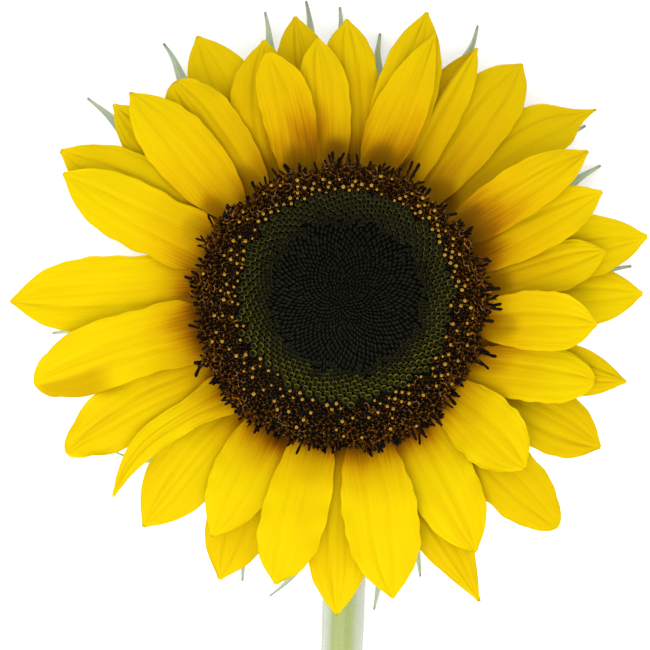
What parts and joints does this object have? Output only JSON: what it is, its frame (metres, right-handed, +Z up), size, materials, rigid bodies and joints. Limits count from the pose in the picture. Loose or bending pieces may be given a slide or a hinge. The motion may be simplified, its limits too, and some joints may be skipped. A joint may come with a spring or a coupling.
{
  "type": "cut sunflower",
  "caption": "Cut sunflower lying on a surface: dark domed disc of florets, overlapping yellow rays, green bracts and a laid stem with a bent neck.",
  "frame": {"origin": "middle of the outline's foot on the surface that the flower lies on", "axes": "+Z up from the surface, +Y from the stem's cut end towards the head; the face looks up and leans a little towards +Y"},
  "size_m": [0.1598, 0.3112, 0.0576],
  "materials": {
    "petal": "soft satin, fine lengthwise veins, amber to brown towards the foot",
    "bract_leaf": "matt, downy, pale grey-green",
    "stem_skin": "matt to satin, ribbed and finely haired",
    "receptacle_skin": "matt, downy green",
    "disc_centre": "matt, near black with a green cast",
    "disc_buds": "matt olive beads",
    "disc_florets": "matt dark brown with golden pollen"
  },
  "bodies": {
    "root": {"stem": "stem_skin", "receptacle": "receptacle_skin", "disc_centre": "disc_centre", "disc_bud_ring": "disc_buds", "disc_floret_ring": "disc_florets", "ray_01": "petal", "ray_02": "petal", "ray_03": "petal", "ray_04": "petal", "ray_05": "petal", "ray_06": "petal", "ray_07": "petal", "ray_08": "petal", "ray_09": "petal", "ray_10": "petal", "ray_11": "petal", "ray_12": "petal", "ray_13": "petal", "ray_14": "petal", "ray_15": "petal", "ray_16": "petal", "ray_17": "petal", "ray_18": "petal", "ray_19": "petal", "ray_20": "petal", "ray_21": "petal", "ray_22": "petal", "ray_23": "petal", "ray_24": "petal", "ray_25": "petal", "ray_26": "petal", "ray_27": "petal", "ray_28": "petal", "ray_29": "petal", "ray_30": "petal", "ray_31": "petal", "ray_32": "petal", "ray_33": "petal", "ray_34": "petal", "ray_35": "petal", "ray_36": "petal", "ray_37": "petal", "ray_38": "petal", "ray_39": "petal", "ray_40": "petal", "bract_01": "bract_leaf", "bract_02": "bract_leaf", "bract_03": "bract_leaf", "bract_04": "bract_leaf", "bract_05": "bract_leaf", "bract_06": "bract_leaf", "bract_07": "bract_leaf", "bract_08": "bract_leaf", "bract_09": "bract_leaf", "bract_10": "bract_leaf", "bract_11": "bract_leaf", "bract_12": "bract_leaf", "bract_13": "bract_leaf", "bract_14": "bract_leaf", "bract_15": "bract_leaf"}
  },
  "joints": []
}
